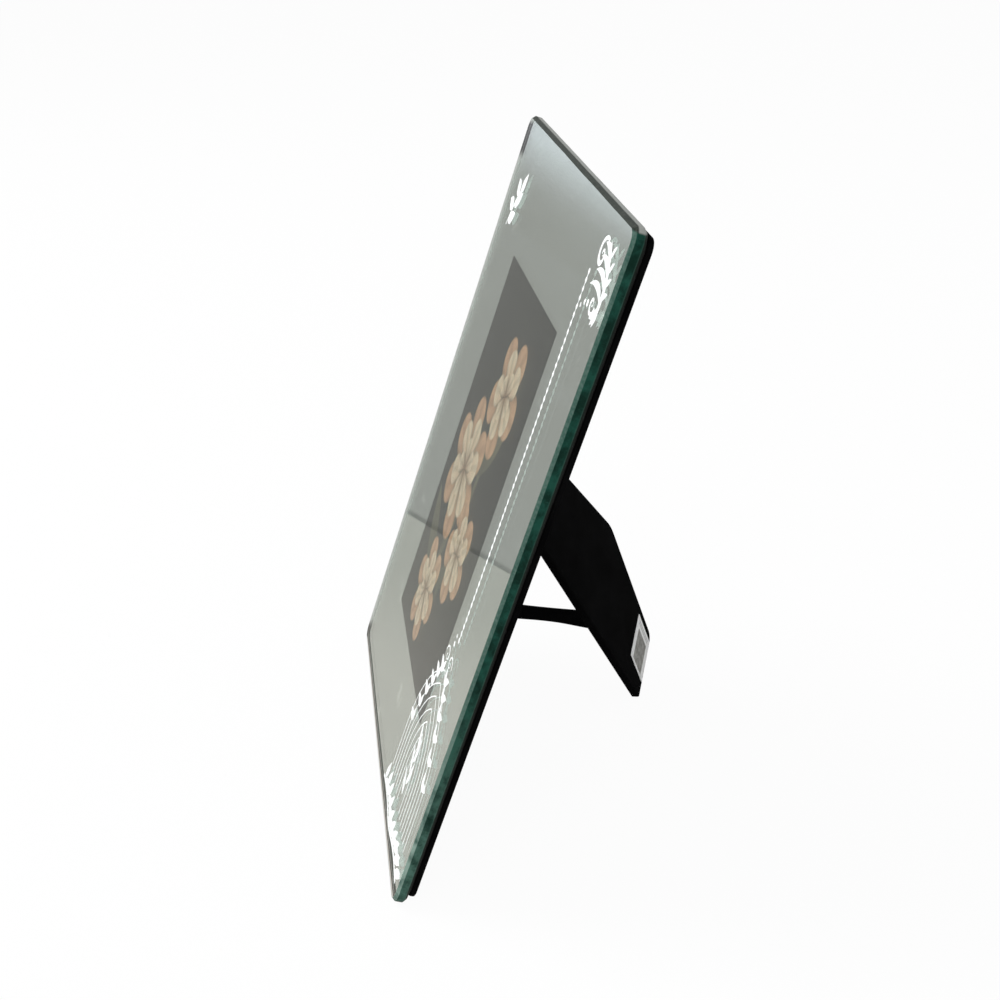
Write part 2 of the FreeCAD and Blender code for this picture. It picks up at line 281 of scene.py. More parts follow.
def glass_finish():
    """Clear float glass with the green of its iron, which shows along its edges.

    Part of the shader refracts without reflecting, which keeps the veil over the picture weak.
    """
    nodes = Finish("float_glass")
    bending, unveiled_share = 1.52, 0.45
    smear = nodes.grain(60, 3, 0.6)
    glass = nodes.surface(Base_Color=(1, 1, 1), Roughness=smear.between(0.35, 0.75) * 0.004,
                          IOR=bending, Transmission_Weight=1.0)
    sockets = {"Color": (1, 1, 1), "Roughness": 0.0, "IOR": bending}
    unveiled = nodes.node("ShaderNodeBsdfRefraction", None, sockets)
    glass = nodes.shaded(unveiled_share, glass, unveiled)
    clear = nodes.node("ShaderNodeBsdfTransparent", None, {"Color": (0.93, 0.95, 0.94)})
    shadow = nodes.node("ShaderNodeLightPath", out="Is Shadow Ray")
    green_iron = {"Color": (0.42, 0.86, 0.74), "Density": 22.0}
    tint = nodes.node("ShaderNodeVolumeAbsorption", None, green_iron)
    return nodes.done(nodes.shaded(shadow, glass, clear), tint)


def ground_edge_finish():
    """The ground edge of the glass: pale front bevel, deep green side and dark rear bevel.

    It is paler towards the foot, with painted reflected light there. Seen from inside the glass it is
    painted pale all along, with a painted glow, in place of the light that the glass leads to it; at
    the upper corner it is painted dark, a painted reflection of the top bevel. Along the top of the
    plate it is painted dark in front and grey behind: painted shade on the front bevel and painted
    light on the edge face, which faces up.
    """
    nodes = Finish("ground_edge")
    inside = nodes.node("ShaderNodeNewGeometry", out="Backfacing")
    rise = nodes.along(FOOT, UP)
    depth = nodes.along(FOOT, OUT) * -1
    rear_bevel = GLASS_THICKNESS - GLASS_BEVEL
    # The last colour on each of these two lines is painted reflected light, used near the foot.
    sage, frost, painted_reflection_milk = (0.040, 0.090, 0.072), (0.085, 0.145, 0.120), (0.26, 0.36, 0.31)
    bottle, sea, painted_reflection_moss = (0.0025, 0.021, 0.014), (0.010, 0.064, 0.045), (0.080, 0.165, 0.130)
    blotch = nodes.grain(150, 5, 0.65)
    scratch = nodes.grain(1300, 5, 0.7, (1, 5, 1))
    # Painted reflected light near the foot: the bevel, the side and the line along it are made paler there.
    low = (1 - rise.between(8, 95)) * blotch.between(0.30, 0.58)

    pale = nodes.mix(scratch.between(0.35, 0.7), sage, frost)
    pale = nodes.mix(low * 0.85, pale, painted_reflection_milk)
    deep = nodes.mix(blotch.between(0.40, 0.66), bottle, sea)
    deep = nodes.mix(scratch.between(0.55, 0.75) * 0.4, deep, (0.030, 0.105, 0.080))
    deep = nodes.mix(low * 0.75, deep, painted_reflection_moss)
    line = (1 - abs(depth - (rear_bevel - 0.05)) * 4.5).clamped()
    streak = nodes.mix(low * 0.8, (0.030, 0.072, 0.056), (0.080, 0.150, 0.120))
    edge = nodes.mix(line * 0.8, deep, streak)
    edge = nodes.mix(depth.between(rear_bevel + 0.1, rear_bevel + 0.3), edge, (0.0025, 0.010, 0.007))
    side = nodes.mix(depth.between(GLASS_BEVEL - 0.1, GLASS_BEVEL + 0.06), pale, edge)

    # Painted light: seen from inside the glass, the edge is made pale and given an emission glow in place
    # of the light that the glass leads to it.
    painted_inside_light = inside * rise.between(3, 8)
    side = nodes.mix(painted_inside_light * 0.85, side, (0.78, 0.82, 0.80))
    # Painted reflection: seen from inside, the upper corner is painted dark for the reflection of the top
    # bevel, and gets no glow.
    corner = inside * rise.between(208, 212) * (1 - rise.between(221, 223))
    side = nodes.mix(corner, side, (0.004, 0.018, 0.012))
    glow = nodes.mix((painted_inside_light - corner).clamped(), (0, 0, 0), (0.31, 0.30, 0.29))

    # Painted light and shade along the top: the front bevel is painted dark as shade, and the upward edge
    # face grey as light from above.
    shaded_top_bevel = nodes.mix(scratch.between(0.4, 0.65), (0.016, 0.022, 0.018), (0.050, 0.056, 0.048))
    top_light_and_shade = nodes.mix(depth.between(1.2, 1.7), shaded_top_bevel, (0.29, 0.30, 0.28))
    at_top = rise.between(PLATE_HEIGHT - 1.6, PLATE_HEIGHT - 1.0)
    colour = nodes.mix(at_top, side, top_light_and_shade)
    height = nodes.bump(scratch, 0.35, 0.00003)
    return nodes.done(nodes.surface(Base_Color=colour, Roughness=0.28 + scratch * 0.25, Normal=height,
                                   Specular_IOR_Level=0.06, Emission_Color=glow, Emission_Strength=1.0))


def silver_finish():
    """Silver behind the glass, with faint clouding and dark paint over its back."""
    nodes = Finish("mirror_silver")
    cloud = nodes.grain(18, 4, 0.6)
    colour = nodes.mix(cloud.spread(), (0.815, 0.815, 0.80), (0.828, 0.828, 0.813))
    fleck = nodes.grain(900, 2, 0.5).between(0.72, 0.78)
    silver = nodes.surface(Base_Color=colour, Metallic=1.0, Roughness=0.012 + fleck * 0.1)
    skin = nodes.grain(1200, 3, 0.6)
    dried = nodes.mix(skin.spread(), (0.016, 0.016, 0.017), (0.030, 0.030, 0.031))
    paint = nodes.surface(Base_Color=dried, Roughness=0.55 + skin * 0.2)
    depth = nodes.along(FOOT, OUT) * -1
    behind = depth.between(GLASS_THICKNESS + 0.01, GLASS_THICKNESS + 0.02)
    return nodes.done(nodes.shaded(behind, silver, paint))


def print_finish():
    """White screen-printed ink, slightly grainy.

    Its underside has a painted glow, an emission in place of the light that the glass brings in.
    """
    nodes = Finish("white_ink")
    mottle = nodes.grain(1500, 4, 0.6)
    colour = nodes.mix(mottle.spread(), (0.90, 0.93, 0.92), (0.97, 0.98, 0.975))
    height = nodes.bump(mottle, 0.3, 0.00002)
    # Painted light: where the ink faces into the glass it glows, in place of the light that the glass
    # brings in.
    facing = nodes.dot(nodes.node("ShaderNodeNewGeometry", out="Normal"), OUT)
    glow = nodes.mix((facing * -1).between(0.4, 0.8), (0, 0, 0), (0.46, 0.48, 0.46))
    return nodes.done(nodes.surface(Base_Color=colour, Roughness=0.42 + mottle * 0.2, Normal=height,
                                   Emission_Color=glow, Emission_Strength=1.0))


def leaf_paint(nodes, u, v, under, base, angle, length, width, root, tip):
    """Paints one leaf over a picture: a lens from its base, shaded from root to tip."""
    cos, sin = math.cos(math.radians(angle)), math.sin(math.radians(angle))
    along = (u * cos + v * sin - (base[0] * cos + base[1] * sin)) / length
    across = (v * cos - u * sin - (base[1] * cos - base[0] * sin)) / width
    bend = along * along * 0.35
    mask = (along * (1.08 - along) * 3.6 - abs(across - bend)).between(0.0, 0.16)
    colour = nodes.mix(along.clamped(), root, tip)
    return nodes.mix(mask, under, colour)


def bloom_paint(nodes, u, v, under, middle, size, petals, turn, root, tip):
    """Paints one open bloom over a picture: petals round a middle, darker where they fold."""
    du, dv = u - middle[0], v - middle[1]
    reach = (du * du + dv * dv).maths("SQRT") / size
    round_about = dv.maths("ARCTAN2", du)
    fold = abs((round_about * (petals / 2) + turn).maths("COSINE"))
    petal_end = 0.42 + (fold ** 0.45) * 0.58
    mask = (petal_end - reach).between(0.0, 0.06)
    colour = nodes.mix((reach * 1.15).clamped(), root, tip)
    shade = (1 - fold).between(0.25, 0.95) * 0.75 + (1 - (reach * 3.2).clamped()) * 0.3
    rib = (1 - (1 - fold) * 18).clamped() * 0.25
    colour = nodes.mix((shade + rib).clamped(), colour, (0.13, 0.066, 0.038))
    return nodes.mix(mask, under, colour)


# The still life, in millimetres of the plate: stems and leaves as base, angle, length and width,
# and blooms as middle, size, petals and turn
STEMS = (((70, 44), 72, 96, 2.2), ((92, 42), 84, 104, 2.2), ((76, 62), 128, 40, 6),
         ((86, 70), 40, 46, 6), ((90, 116), 40, 34, 5))
BLOOMS = (((99, 148), 22, 5, 0.4), ((76, 112), 27, 6, 1.1), ((106, 92), 19, 5, 0.9),
          ((78, 64), 20, 6, 0.2))


def picture_finish():
    """A printed still life: pale blooms against a dark grey ground."""
    nodes = Finish("printed_picture")
    u = nodes.along(FOOT, ACROSS)
    v = nodes.along(FOOT, UP)
    cloud = nodes.grain(22, 5, 0.6)
    colour = nodes.mix(cloud.between(0.25, 0.75), (0.006, 0.0055, 0.0048), (0.018, 0.0165, 0.014))
    glow = (1 - abs(u - 92) / 60).clamped() * (1 - abs(v - 96) / 110).clamped()
    colour = nodes.mix(glow * 0.3, colour, (0.060, 0.050, 0.040))
    stem, green = (0.040, 0.040, 0.024), (0.15, 0.13, 0.08)
    for base, angle, length, width in STEMS:
        colour = leaf_paint(nodes, u, v, colour, base, angle, length, width, stem, green)
    peach, cream, deep = (0.74, 0.41, 0.24), (0.97, 0.75, 0.54), (0.40, 0.20, 0.11)
    for middle, size, petals, turn in BLOOMS:
        outer, inner, heart = size, size * 0.74, size * 0.42
        colour = bloom_paint(nodes, u, v, colour, middle, outer, petals, turn, deep, peach)
        colour = bloom_paint(nodes, u, v, colour, middle, inner, petals, turn + 0.8, peach, cream)
        colour = bloom_paint(nodes, u, v, colour, middle, heart, petals - 1, turn + 0.3, deep, cream)
    dots = nodes.grain(5200, 2, 0.5)
    height = nodes.bump(dots, 0.1, 0.00001)
    return nodes.done(nodes.surface(Base_Color=colour, Roughness=0.36 + dots * 0.12, Normal=height,
                                   Specular_IOR_Level=0.08))


def board_finish(name, dark, light, scale=1.0):
    """Pulp board: pressed plies and stray fibres."""
    nodes = Finish(name)
    fibre = nodes.grain(900 * scale, 6, 0.7, (1, 0.25, 1))
    cloud = nodes.grain(70 * scale, 4, 0.6)
    colour = nodes.mix((fibre * 0.6 + cloud * 0.4).spread(), dark, light)
    height = nodes.bump(fibre, 0.5, 0.00006)
    return nodes.done(nodes.surface(Base_Color=colour, Roughness=0.82 + fibre * 0.12, Normal=height))


def flock_finish():
    """Black velvet flock: short dense pile, brushed unevenly, with a little lint."""
    nodes = Finish("black_flock")
    pile = nodes.grain(5200, 3, 0.7)
    brush = nodes.grain(55, 5, 0.65, (1, 2.2, 1))
    lint = nodes.grain(750, 2, 0.5).between(0.74, 0.80)
    colour = nodes.mix(brush.between(0.3, 0.75), (0.0009, 0.0009, 0.0010), (0.0036, 0.0036, 0.0038))
    colour = nodes.mix(pile.between(0.35, 0.8) * 0.5, colour, (0.007, 0.007, 0.0073))
    colour = nodes.mix(lint * 0.35, colour, (0.06, 0.06, 0.058))
    height = nodes.bump(pile, 0.8, 0.00012, nodes.bump(brush, 0.25, 0.0002))
    return nodes.done(nodes.surface(Base_Color=colour, Roughness=0.95, Normal=height,
                                   Specular_IOR_Level=0.005, Sheen_Weight=0.006, Sheen_Roughness=0.45,
                                   Sheen_Tint=(0.7, 0.72, 0.75)))


def paper_finish(name, dark, light, rough):
    """Smooth paper with a faint fibre."""
    nodes = Finish(name)
    fibre = nodes.grain(1400, 5, 0.65)
    colour = nodes.mix(fibre.spread(), dark, light)
    height = nodes.bump(fibre, 0.25, 0.00003)
    return nodes.done(nodes.surface(Base_Color=colour, Roughness=rough + fibre * 0.1, Normal=height))


def ribbon_finish(start, along, across):
    """Grosgrain ribbon: fine cross ribs and a tight selvedge."""
    nodes = Finish("black_ribbon")
    run = nodes.along(start, along)
    side = nodes.along(start, across)
    rib_pitch = 0.55
    rib = (run * (2 * math.pi / rib_pitch)).maths("SINE") * 0.5 + 0.5
    selvedge = abs(side).between(RIBBON_WIDTH / 2 - 0.7, RIBBON_WIDTH / 2 - 0.4)
    thread = nodes.grain(3500, 3, 0.6)
    colour = nodes.mix(rib * 0.6 + thread * 0.4, (0.0015, 0.0015, 0.0017), (0.007, 0.007, 0.0075))
    colour = nodes.mix(selvedge * 0.6, colour, (0.004, 0.004, 0.0045))
    height = nodes.bump(rib * (1 - selvedge) + thread * 0.3, 0.6, 0.00012)
    return nodes.done(nodes.surface(Base_Color=colour, Roughness=0.7 + thread * 0.2, Normal=height,
                                   Sheen_Weight=0.01, Sheen_Roughness=0.4, Specular_IOR_Level=0.05))


def steel_finish():
    """Zinc-plated steel, lightly drawn and handled."""
    nodes = Finish("plated_steel")
    streak = nodes.grain(1800, 4, 0.6, (6, 1, 1))
    cloud = nodes.grain(260, 3, 0.5)
    colour = nodes.mix(cloud.spread(), (0.46, 0.47, 0.49), (0.60, 0.61, 0.62))
    height = nodes.bump(streak, 0.2, 0.00003)
    rough = 0.26 + streak * 0.14 + cloud * 0.08
    return nodes.done(nodes.surface(Base_Color=colour, Metallic=1.0, Roughness=rough, Normal=height))


def label_finish():
    """White paper sticker with a plain mottled grey panel and ruled bars, set square to the toe."""
    nodes = Finish("paper_label")
    toe = Vector(STRUT_TOE)
    foot_run = (Vector(STRUT_HEEL) - toe).normalized()
    taper_run = (Vector(STRUT_KNEE) - toe).normalized()
    from_toe, from_foot = 3.6, 0.8
    corner = toe + foot_run * from_toe + taper_run * from_foot
    start = on_strut(corner.x, corner.y, STRUT_OUTER)
    right = (on_strut(*(corner + foot_run), STRUT_OUTER) - start).normalized()
    up = (on_strut(*(corner + taper_run), STRUT_OUTER) - start).normalized()
    across = nodes.along(start, right)
    rise = nodes.along(start, up)
    fibre = nodes.grain(1500, 5, 0.6)
    colour = nodes.mix(fibre.spread(), (0.86, 0.86, 0.85), (0.93, 0.93, 0.92))
    panel = across.within(4.6, 18.6) * rise.within(3.4, 16.2)
    mottle = nodes.grain(420, 3, 0.7).between(0.4, 0.6)
    tone = nodes.mix(mottle, (0.10, 0.10, 0.085), (0.26, 0.26, 0.24))
    colour = nodes.mix(panel * 0.9, colour, tone)
    beat = (across * 0.9).maths("FRACT") - 0.5
    bars = (0.24 - abs(beat)).between(-0.02, 0.02) * across.within(1.2, 3.6) * rise.within(2.2, 17.2)
    colour = nodes.mix(bars * 0.7, colour, (0.22, 0.22, 0.22))
    height = nodes.bump(fibre, 0.2, 0.00003)
    return nodes.done(nodes.surface(Base_Color=colour, Roughness=0.5 + fibre * 0.12, Normal=height))


# Lines and outlines

def stretch_line(points, spacing):
    """Fills long straight runs of an outline with points."""
    line = []
    for i, (here, out) in enumerate(points):
        there, next_out = points[(i + 1) % len(points)]
        line.append((here, out))
        steps = int((there - here).length / spacing)
        for k in range(1, steps):
            share = k / steps
            line.append((here.lerp(there, share), out.lerp(next_out, share).normalized()))
    return line


def round_outline(corners, radii, turn_points=TURN_POINTS, spacing=SPACING):
    """Points and outward directions along a counter-clockwise outline with round corners."""
    line = []
    count = len(corners)
    for i in range(count):
        corner = Vector(corners[i])
        before = (Vector(corners[i - 1]) - corner).normalized()
        after = (Vector(corners[(i + 1) % count]) - corner).normalized()
        half = before.angle(after) / 2
        centre = corner + (before + after).normalized() * (radii[i] / math.sin(half))
        start = math.atan2(before.x, -before.y)
        sweep = math.pi - 2 * half
        for k in range(turn_points + 1):
            angle = start + sweep * k / turn_points
            out = Vector((math.cos(angle), math.sin(angle)))
            line.append((centre + out * radii[i], out))
    return stretch_line(line, spacing)


def plate_outline(inset, radius, turn_points=TURN_POINTS, spacing=SPACING):
    """The plate's outline, drawn in by an inset."""
    right, top = PLATE_WIDTH - inset, PLATE_HEIGHT - inset
    corners = [(inset, inset), (right, inset), (right, top), (inset, top)]
    return round_outline(corners, [radius] * 4, turn_points, spacing)


def smooth_run(knots, count):
    """Evenly counted points on a B-spline from the first to the last of a row of knots."""
    padded = [knots[0], knots[0], *knots, knots[-1], knots[-1]]
    points = []
    spans = len(padded) - 3
    for k in range(count + 1):
        place = min(spans * k / count, spans - 1e-6)
        i, t = int(place), place - int(place)
        weights = ((1 - t) ** 3 / 6, (3 * t ** 3 - 6 * t ** 2 + 4) / 6,
                   (-3 * t ** 3 + 3 * t ** 2 + 3 * t + 1) / 6, t ** 3 / 6)
        points.append(sum((padded[i + n] * weights[n] for n in range(4)), Vector((0, 0))))
    return points


def smooth_line(spots, count):
    """A smooth run through places that are given, and returned, as pairs of numbers."""
    return [(point.x, point.y) for point in smooth_run([Vector(spot) for spot in spots], count)]


# Meshes

def piece_from(work, name, *materials):
    """Turns a finished bmesh into a piece of the scene."""
    bmesh.ops.recalc_face_normals(work, faces=work.faces)
    mesh = bpy.data.meshes.new(name)
    work.to_mesh(mesh)
    work.free()
    for material in materials:
        mesh.materials.append(material)
    piece = bpy.data.objects.new(name, mesh)
    bpy.context.scene.collection.objects.link(piece)
    return piece


def bridge(work, near, far):
    """Faces between two rings of as many points."""
    count = len(near)
    faces = []
    for i in range(count):
        j = (i + 1) % count
        faces.append(work.faces.new((near[i], near[j], far[j], far[i])))
    return faces


def loft(name, rings, face_material, side_material=None):
    """Closed piece through rings of points, with flat ends."""
    work = bmesh.new()
    loops = [[work.verts.new(point) for point in ring] for ring in rings]
    for lower, upper in zip(loops, loops[1:]):
        for face in bridge(work, lower, upper):
            face.smooth = True
            face.material_index = 1 if side_material else 0
    work.faces.new(list(reversed(loops[0])))
    work.faces.new(loops[-1])
    for ring in (loops[0], loops[-1]):
        for i, corner in enumerate(ring):
            work.edges.get((ring[i - 1], corner)).smooth = False
    materials = [face_material, side_material] if side_material else [face_material]
    return piece_from(work, name, *materials)


def offset_rings(outline, profile, place, wander=None):
    """Rings that keep an inset from an outline, one for each (inset, level) of a profile."""
    rings = []
    for inset, level in profile:
        ring = []
        for point, out in outline:
            more = wander(point, level) if wander else 0.0
            spot = point - out * (inset + more)
            ring.append(place(spot.x, spot.y, level))
        rings.append(ring)
    return rings


# Glass plate: two ground bevels, each with soft arrises that wander a little

def bevel_profile():
    """Section of the glass edge as (inset, level), from the front face to the back."""
    back = GLASS_FLOAT - GLASS_THICKNESS
    bevel = GLASS_BEVEL
    bevelled = [
        (bevel + 0.07, 0.0), (bevel - 0.01, 0.022), (bevel - 0.08, 0.085),
        (0.5 * bevel, 0.5 * bevel),
        (0.08, bevel - 0.085), (0.02, bevel - 0.01), (0.0, bevel + 0.07),
    ]
    front = [(inset, -depth) for inset, depth in bevelled]
    rear = [(inset, back + depth) for inset, depth in reversed(bevelled)]
    return front + [(0.0, 0.5 * back)] + rear


def bevel_wander(point, level):
    """Unevenness of the grinding, in millimetres, stronger where a bevel meets the face."""
    slow_waves, fast_waves, seed = 0.035, 0.21, 3.1
    slow = noise.noise(Vector((*point * slow_waves, seed)))
    fast = noise.noise(Vector((*point * fast_waves, level)))
    depth = min(-level, level + GLASS_THICKNESS)
    if depth > GLASS_FLOAT:
        return max(0.0, 0.05 * slow + 0.02 * fast)
    return 0.10 * slow + 0.04 * fast + 0.08


def front_glass():
    """The glass plate, clear on its faces and ground all round."""
    outline = plate_outline(0.0, PLATE_CORNER, turn_points=14, spacing=1.5)
    rings = offset_rings(outline, bevel_profile(), on_plate, bevel_wander)
    piece = loft("glass_plate", rings, glass_finish(), ground_edge_finish())
    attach(piece, "plate")
    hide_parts("front_glass")


# White print on the front of the glass

class Ink:
    """A layer of ink strokes that lies on the glass. All its sizes are in millimetres."""

    def __init__(self, name):
        self.name = name
        self.work = bmesh.new()
        self.level = INK_TOP

    def stroke(self, points, widths):
        """A strip along points, with a width at each, that lies a hair above the one before."""
        self.level += INK_STEP
        rows = []
        for i, (u, v) in enumerate(points):
            before = points[max(i - 1, 0)]
            after = points[min(i + 1, len(points) - 1)]
            run = Vector((after[0] - before[0], after[1] - before[1])).normalized()
            side = Vector((-run.y, run.x)) * (max(widths[i], THINNEST_STROKE) / 2)
            left, right = (u + side.x, v + side.y), (u - side.x, v - side.y)
            corners = [(*left, INK_UNDERSIDE), (*left, self.level),
                       (*right, self.level), (*right, INK_UNDERSIDE)]
            rows.append([self.work.verts.new(on_plate(*corner)) for corner in corners])
        for near, far in zip(rows, rows[1:]):
            bridge(self.work, near, far)
        self.work.faces.new(rows[0])
        self.work.faces.new(list(reversed(rows[-1])))

    def line(self, points, width):
        """A strip of even width."""
        self.stroke(points, [width] * len(points))

    def leaf(self, base, angle, length, width, curl=0.25):
        """A leaf that widens and comes to a point, bent to one side."""
        points, widths = [], []
        steps = 14
        for k in range(steps + 1):
            share = k / steps
            turn = math.radians(angle) + curl * (share - 0.3)
            reach = length * share
            points.append((base[0] + reach * math.cos(turn), base[1] + reach * math.sin(turn)))
            widths.append(width * math.sin(math.pi * share ** 0.8) ** 0.9 + 0.05)
        self.stroke(points, widths)

    def scroll(self, centre, radius, start, turns, width, shrink=0.12):
        """A volute that winds in to its centre."""
        points, widths = [], []
        steps = max(12, int(abs(turns) * 40))
        for k in range(steps + 1):
            share = k / steps
            angle = math.radians(start) + 2 * math.pi * turns * share
            reach = radius * (shrink + (1 - shrink) * (1 - share) ** 1.3)
            points.append((centre[0] + reach * math.cos(angle), centre[1] + reach * math.sin(angle)))
            widths.append(width * (0.45 + 0.55 * math.sin(math.pi * min(1, share * 1.3 + 0.1))))
        self.stroke(points, widths)

    def dot(self, u, v, radius):
        """A round spot of ink, with ten sides."""
        angles = [k * math.pi / 5 for k in range(10)]
        ring = [(u + radius * math.cos(angle), v + radius * math.sin(angle)) for angle in angles]
        top = [self.work.verts.new(on_plate(x, y, DOT_TOP)) for x, y in ring]
        low = [self.work.verts.new(on_plate(x, y, INK_UNDERSIDE)) for x, y in ring]
        self.work.faces.new(top)
        self.work.faces.new(list(reversed(low)))
        bridge(self.work, low, top)

    def finish(self, material):
        piece = piece_from(self.work, self.name, material)
        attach(piece, "plate")


def lancet(middle, foot, half_width, top):
    """One pointed arch, from its left foot over the point to its right foot."""
    shape = ((1.0, 0.0), (1.0, 0.3), (0.96, 0.55), (0.55, 0.86), (0.0, 1.0))
    left = [(middle - half_width * out, foot + (top - foot) * rise) for out, rise in shape]
    right = [(2 * middle - u, v) for u, v in reversed(left)]
    return smooth_line(left, 16) + smooth_line(right, 16)[1:]


def print_beads(ink):
    """A thin line with a row of beads along it."""
    beads = Ink("print_beads")
    beads.line([(BEADS_U, BEADS_FOOT), (BEADS_U, BEADS_TOP)], 0.5)
    for k in range(int((BEADS_TOP - BEADS_FOOT) / BEAD_PITCH) + 1):
        beads.dot(BEADS_U, BEADS_FOOT + BEAD_PITCH * k, BEAD_RADIUS)
    beads.finish(ink)


def print_corner(ink):
    """A scrolled branch at the upper right, with pairs of leaves and a few dots."""
    corner = Ink("print_corner")
    steps = 24
    stem = smooth_line(((171, 198), (171.5, 203), (170, 208), (166.5, 212.5), (162, 216.5)), steps)
    corner.stroke(stem, [3.0 - 1.5 * k / steps for k in range(steps + 1)])
    corner.scroll((157.5, 212.2), 5.0, 60, 1.35, 1.7)
    corner.scroll((164.5, 199.6), 3.2, 0, -1.3, 1.2)
    for k in range(4):
        base = (170.9 - 0.5 * k * k, 201.4 + 3.5 * k)
        corner.leaf(base, 150 - 5 * k, 16.0 - 2.0 * k, 2.3, 0.6)
        corner.leaf((base[0] + 0.3, base[1] + 1.4), 46 + 8 * k, 4.6, 1.8, -0.3)
    for k in range(3):
        corner.leaf((171.4, 199.6), 212 + 24 * k, 6.8 - 1.0 * k, 2.6, 0.0)
        corner.dot(159.5 - 3.2 * k, 198.6 - 0.6 * k * k, 1.1 - 0.2 * k)
    corner.finish(ink)


def print_sprig(ink):
    """A leaf sprig at the upper left: its stem, then leaves as base, angle and length."""
    sprig = Ink("print_sprig")
    sprig.line([(17.5, 187), (19.5, 192), (22.0, 197), (25.5, 201.5)], 0.9)
    leaves = (((18.4, 189.6), 12, 10), ((19.8, 193.0), 150, 8), ((21.2, 195.6), 22, 11),
              ((23.0, 198.6), 128, 8), ((24.9, 200.7), 48, 9))
    for base, angle, length in leaves:
        sprig.leaf(base, angle, length, 4.8)
    sprig.finish(ink)


def print_arches(ink):
    """Nested pointed arches with leaves round them, two volutes on top and a spray inside."""
    arches = Ink("print_arches")
    middle = 146.0
    for k in range(7):
        arches.line(lancet(middle, 15.0, 25.0 - 3.5 * k, 69.5 - 5.0 * k), 0.5)
    for side in (-1, 1):
        arches.scroll((middle + 3.4 * side, 73.5), 3.4, 90 - 90 * side, 1.2 * side, 0.7)
        for k in range(6):
            base = (middle + side * (4.0 + 3.1 * k), 66.5 - 3.6 * k - 0.45 * k * k)
            arches.leaf(base, 90 - side * (42 + 4 * k), 6.5, 2.8, -0.3 * side)
            arches.leaf(base, 90 + side * (8 - 3 * k), 5.5, 2.4, 0.3 * side)
    arches.dot(middle, 79.5, 1.0)
    arches.dot(middle, 82.4, 0.7)
    for k in range(5):
        arches.leaf((middle, 20.0 + 4.4 * k), 90 + (28 - 4 * k) * (-1) ** k, 10.0, 2.6)
    arches.finish(ink)


def print_foot_band(ink):
    """A wavy band of leaves along the foot, under the arches."""
    band = Ink("print_foot_band")
    for k in range(10):
        base = (116.0 + 5.9 * k, 6.6 + 1.0 * math.sin(k * 1.1))
        band.leaf(base, 58 - 4 * k, 8.5, 3.4)
        band.leaf((base[0] + 2.2, base[1]), 14 + 3 * k, 7.5, 2.8, -0.3)
    band.line([(114 + 3.0 * k, 5.6 + 0.9 * math.sin(k * 0.5)) for k in range(21)], 1.1)
    band.finish(ink)


def white_print():
    """All the ink on the glass, in five pieces."""
    ink = print_finish()
    print_beads(ink)
    print_corner(ink)
    print_sprig(ink)
    print_arches(ink)
    print_foot_band(ink)


# Flocked covers, wrapped round the edges of the board and the strut

def board_cover(flock):
    """The board's cover, with the finger notch in the middle of its top edge."""
    front, back = BOARD_FRONT - 0.01, BOARD_BACK
    wrapped_edge = [
        (1.9, front), (0.8, front - 0.01), (0.3, front - 0.08), (0.07, front - 0.3), (0.0, front - 0.55),
        (0.0, (front + back) / 2),
        (0.0, back + 0.55), (0.08, back + 0.22), (0.32, back + 0.05), (0.9, back + 0.005), (2.2, back),
    ]
    middle, top = PLATE_WIDTH / 2, PLATE_HEIGHT - BOARD_INSET
    reach = NOTCH_RADIUS + 0.14
    steps = 24
    notch = []
    for k in range(steps + 1):
        angle = math.pi * k / steps
        out = Vector((-math.cos(angle), math.sin(angle)))
        if k in (0, steps):
            out = Vector((out.x, 1.0))
        here = Vector((middle + reach * math.cos(angle), top - reach * math.sin(angle)))
        notch.append((here, out))
    corners = plate_outline(BOARD_INSET, BOARD_CORNER, spacing=math.inf)
    before_notch = 3 * (TURN_POINTS + 1)
    outline = stretch_line(corners[:before_notch] + notch + corners[before_notch:], SPACING)
    piece = loft("board_cover", offset_rings(outline, wrapped_edge, on_plate), flock)
    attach(piece, "plate")
    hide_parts("board_flock")


def strut_cover(flock):
    """The strut's cover: knee, round toe and square heel, with its edge turned in round the lining."""
    corners = [(-STRUT_HALF_TOP, STRUT_TOP), (STRUT_HALF_TOP, STRUT_TOP), STRUT_HEEL, STRUT_TOE, STRUT_KNEE]
    radii = [1.5, 1.5, 0.8, 4.0, 24.0]
    inner, outer = STRUT_INNER, STRUT_OUTER
    turned_in = [
        (0.5, inner + 0.14), (0.36, inner + 0.13), (0.30, inner + 0.02), (0.12, inner + 0.03),
        (0.02, inner + 0.25), (0.0, inner + 0.6),
        (0.0, outer - 0.7), (0.06, outer - 0.3), (0.24, outer - 0.08), (0.6, outer - 0.01), (1.4, outer),
    ]
    rings = offset_rings(round_outline(corners, radii, turn_points=12), turned_in, on_strut)
    piece = loft("strut_cover", rings, flock)
    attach(piece, "strut")
    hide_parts("strut_flock")


# Ribbon that stays the strut

def ribbon_line():
    """Knots of the ribbon's middle line as (y, z) of the hinge's frame, from tab to tab."""
    lift = RIBBON_THICKNESS / 2
    board_down, strut_down = RIBBON_ON_BOARD[1], RIBBON_ON_STRUT[1]
    board = Vector((board_down, -HINGE_RADIUS + lift))
    strut = Vector(swung(strut_down, STRUT_INNER - lift))
    middle = (board + strut) / 2 + Vector((RIBBON_SAG, 0))
    slack = Vector((0.6, 0))
    strut_tab = [Vector(swung(strut_down + along, STRUT_INNER - lift)) for along in (9.0, RIBBON_TAB)]
    return [board + Vector((RIBBON_TAB, 0)), board + Vector((5.0, 0)), board + Vector((0.6, 0.4)),
            board.lerp(middle, 0.35) + slack, middle, strut.lerp(middle, 0.35) + slack,
            strut + (middle - strut).normalized() * 0.8, *strut_tab]


def swell(share, middle, width):
    """A bell curve along the ribbon."""
    return math.exp(-((share - middle) / width) ** 2)


